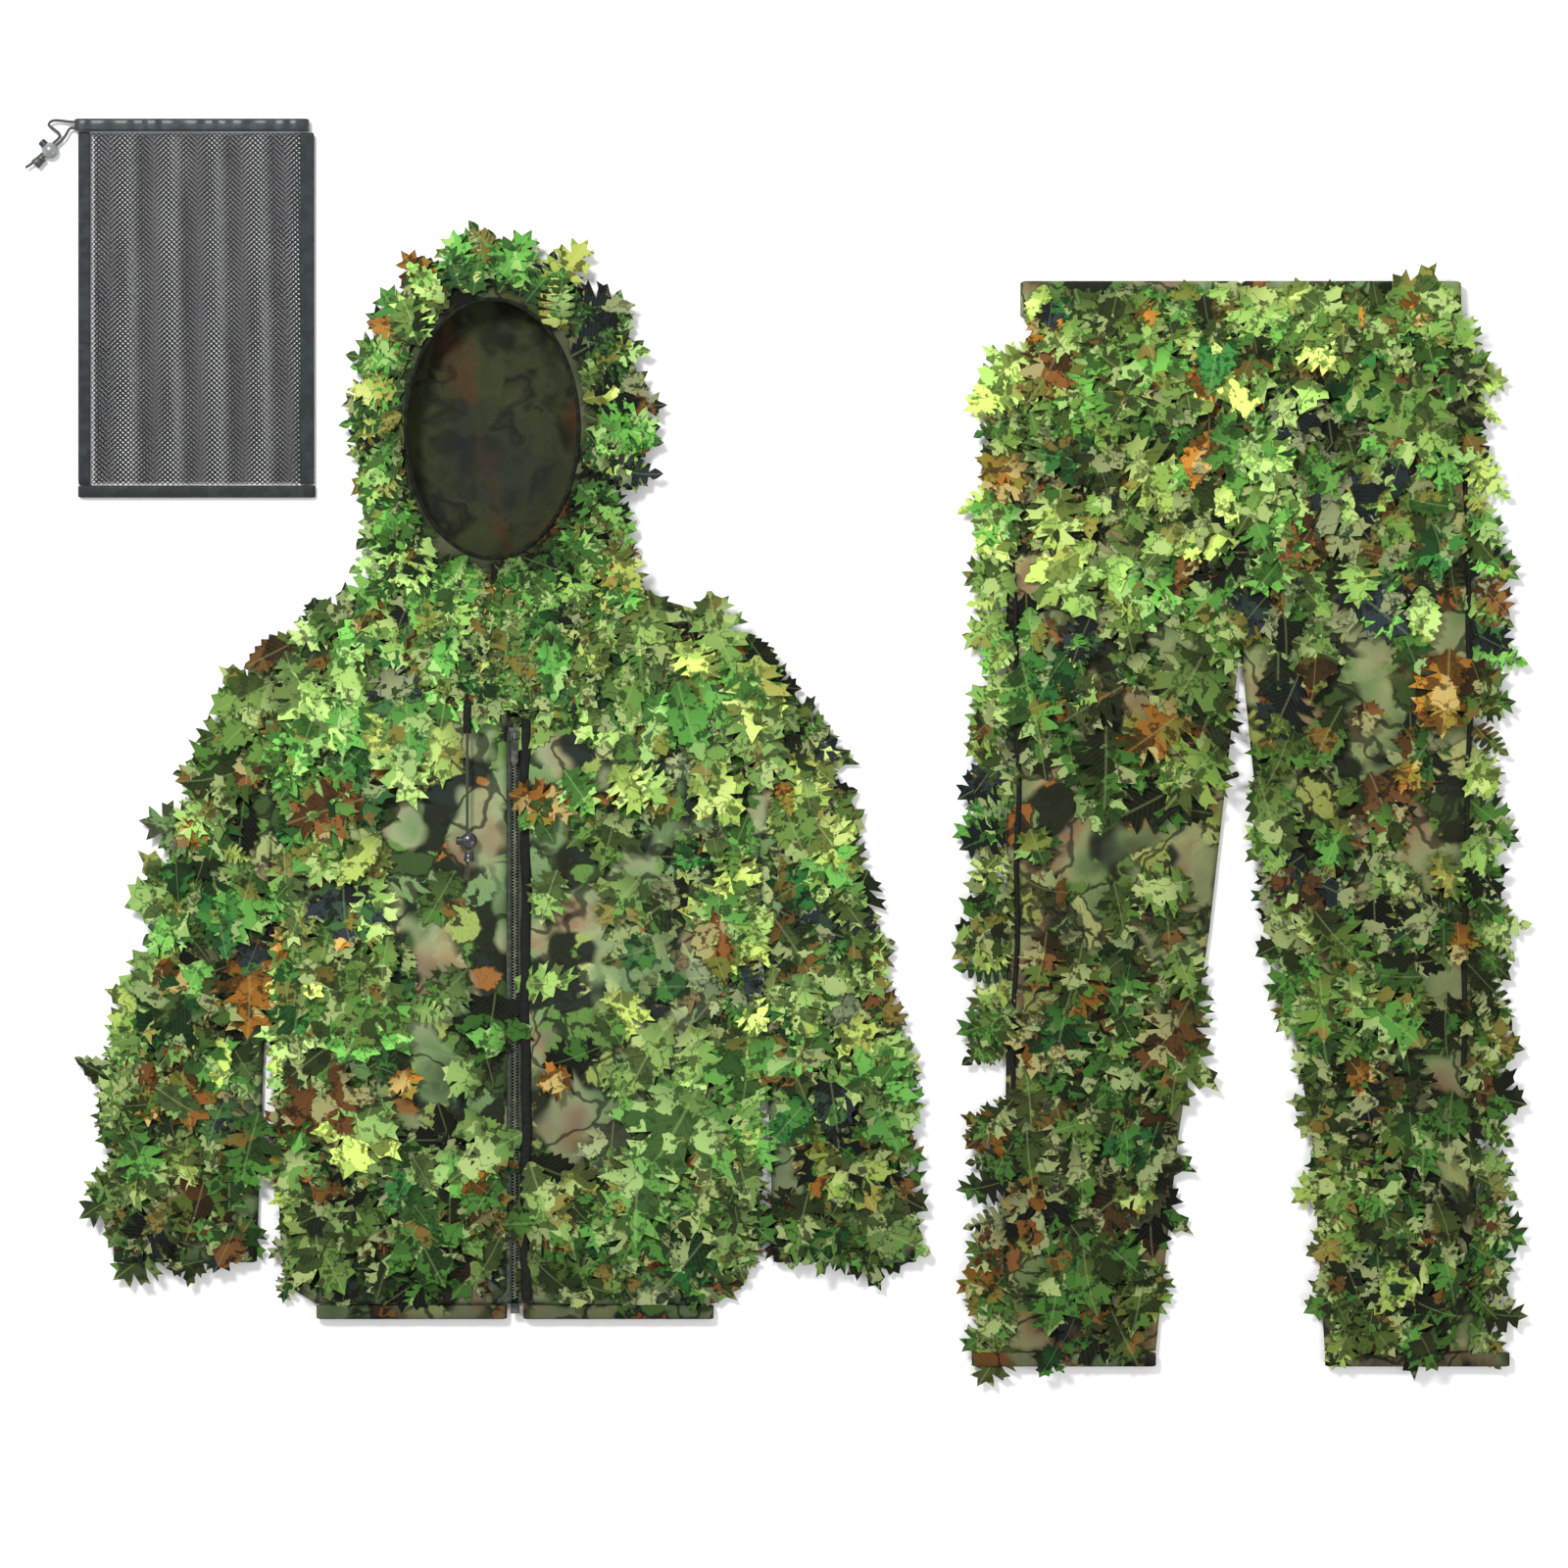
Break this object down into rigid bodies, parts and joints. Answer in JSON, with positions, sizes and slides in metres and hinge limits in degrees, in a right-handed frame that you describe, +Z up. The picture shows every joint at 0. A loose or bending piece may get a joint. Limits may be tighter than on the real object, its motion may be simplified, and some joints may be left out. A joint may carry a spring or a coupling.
{
  "type": "ghillie suit",
  "caption": "Leaf camouflage suit set laid flat: hooded zip jacket with face veil, elastic-waist trousers and drawcord mesh bag.",
  "frame": {"origin": "on the surface that the set lies on, under the middle of the garments and the bag's body", "axes": "+Z up off the surface, +Y towards the hood, +X towards the wearer's left"},
  "size_m": [1.457, 1.2116, 0.0547],
  "materials": {
    "cloth": "printed mesh polyester, matt",
    "back_cloth": "printed mesh polyester, matt",
    "leaf": "cut leaves of thin printed polyester",
    "dark_leaf": "cut leaves of thin printed polyester",
    "veil": "dark printed see-through mesh",
    "band": "dark woven elastic and binding tape",
    "coil": "nylon zip coil, satin",
    "zip_metal": "die-cast metal, dull nickel",
    "fitting": "moulded acetal, satin",
    "spring_steel": "spring steel wire",
    "cord": "braided polyester cord, black",
    "net": "knitted polyester net, dark slate"
  },
  "bodies": {
    "suit": {"ankle_elastic_left": "band", "bag_back_net": "net", "bag_bottom_binding": "net", "bag_casing_cord": "cord", "bag_cord_end": "fitting", "bag_cord_slack": "cord", "bag_cord_straight": "cord", "bag_front_net": "net", "bag_side_binding": "net", "bag_top_casing": "net", "collar_cape": "dark_leaf", "hood_cord_end": "fitting", "hood_cord_tunnel": "band", "hood_drawcord": "cord", "jacket_back_panel": "back_cloth", "jacket_front_left": "cloth", "jacket_front_right": "cloth", "jacket_hem_left": "band", "jacket_hem_right": "band", "jacket_leaves_left": "leaf", "jacket_leaves_right": "leaf", "trousers_back_left": "back_cloth", "trousers_front_left": "cloth", "trousers_leaves_left": "leaf", "waist_elastic_left": "band", "waistband_left": "cloth", "zip_bottom_box": "zip_metal", "zip_coil_left": "coil", "zip_coil_right": "coil", "zip_tape_left": "band", "zip_tape_right": "band"},
    "sleeve_right": {"sleeve_right_back": "back_cloth", "sleeve_right_cuff": "cloth", "sleeve_right_cuff_elastic": "band", "sleeve_right_front": "cloth", "sleeve_right_leaves": "leaf"},
    "sleeve_left": {"sleeve_left_back": "back_cloth", "sleeve_left_cuff": "cloth", "sleeve_left_cuff_elastic": "band", "sleeve_left_front": "cloth", "sleeve_left_leaves": "leaf"},
    "hood": {"hood_back": "dark_leaf", "hood_front": "cloth", "hood_leaves": "leaf", "face_veil": "veil", "face_binding": "band"},
    "zip_slider": {"zip_slider": "zip_metal"},
    "zip_pull": {"zip_pull": "zip_metal"},
    "hood_lock": {"hood_cord_lock": "fitting", "hood_lock_spring": "spring_steel"},
    "hood_button": {"hood_lock_button": "fitting"},
    "trouser_leg_right": {"ankle_elastic_right": "band", "trousers_back_right": "back_cloth", "trousers_front_right": "cloth", "trousers_leaves_right": "leaf", "waist_elastic_right": "band", "waistband_right": "cloth"},
    "bag_lock": {"bag_cord_lock": "fitting", "bag_lock_spring": "spring_steel"},
    "bag_button": {"bag_lock_button": "fitting"}
  },
  "joints": [
    {"name": "sleeve_right_fold", "type": "hinge", "parent": "suit", "child": "sleeve_right", "pos_m": [-0.51402, -0.20625, 0.032], "axis": [0, 1, 0], "range_deg": [0, 178]},
    {"name": "sleeve_left_fold", "type": "hinge", "parent": "suit", "child": "sleeve_left", "pos_m": [-0.04202, -0.20625, 0.032], "axis": [0, -1, 0], "range_deg": [0, 178]},
    {"name": "hood_lift", "type": "hinge", "parent": "suit", "child": "hood", "pos_m": [-0.29202, 0.1438, 0.032], "axis": [1, 0, 0], "range_deg": [0, 80]},
    {"name": "zip_slide", "type": "slide", "parent": "suit", "child": "zip_slider", "axis": [0, -1, 0], "range_m": [0, 0.53]},
    {"name": "zip_pull_flip", "type": "hinge", "parent": "zip_slider", "child": "zip_pull", "pos_m": [-0.27802, 0.00975, 0.0158], "axis": [-1, 0, 0], "range_deg": [0, 110]},
    {"name": "hood_lock_slide", "type": "slide", "parent": "suit", "child": "hood_lock", "axis": [0, 1, 0], "range_m": [0, 0.09]},
    {"name": "hood_lock_press", "type": "slide", "parent": "hood_lock", "child": "hood_button", "axis": [1, 0, 0], "range_m": [0, 0.0025], "stiffness_N_per_m": 300, "deforming": ["hood_lock_spring"]},
    {"name": "trousers_fold", "type": "hinge", "parent": "suit", "child": "trouser_leg_right", "pos_m": [0.42398, 0.1, 0.032], "axis": [0, 1, 0], "range_deg": [0, 178]},
    {"name": "bag_lock_slide", "type": "slide", "parent": "suit", "child": "bag_lock", "axis": [0.7314, 0.682, 0], "range_m": [0, 0.008], "deforming": ["bag_cord_slack"]},
    {"name": "bag_lock_press", "type": "slide", "parent": "bag_lock", "child": "bag_button", "axis": [0.682, -0.7314, 0], "range_m": [0, 0.0025], "stiffness_N_per_m": 300, "deforming": ["bag_lock_spring"]}
  ]
}
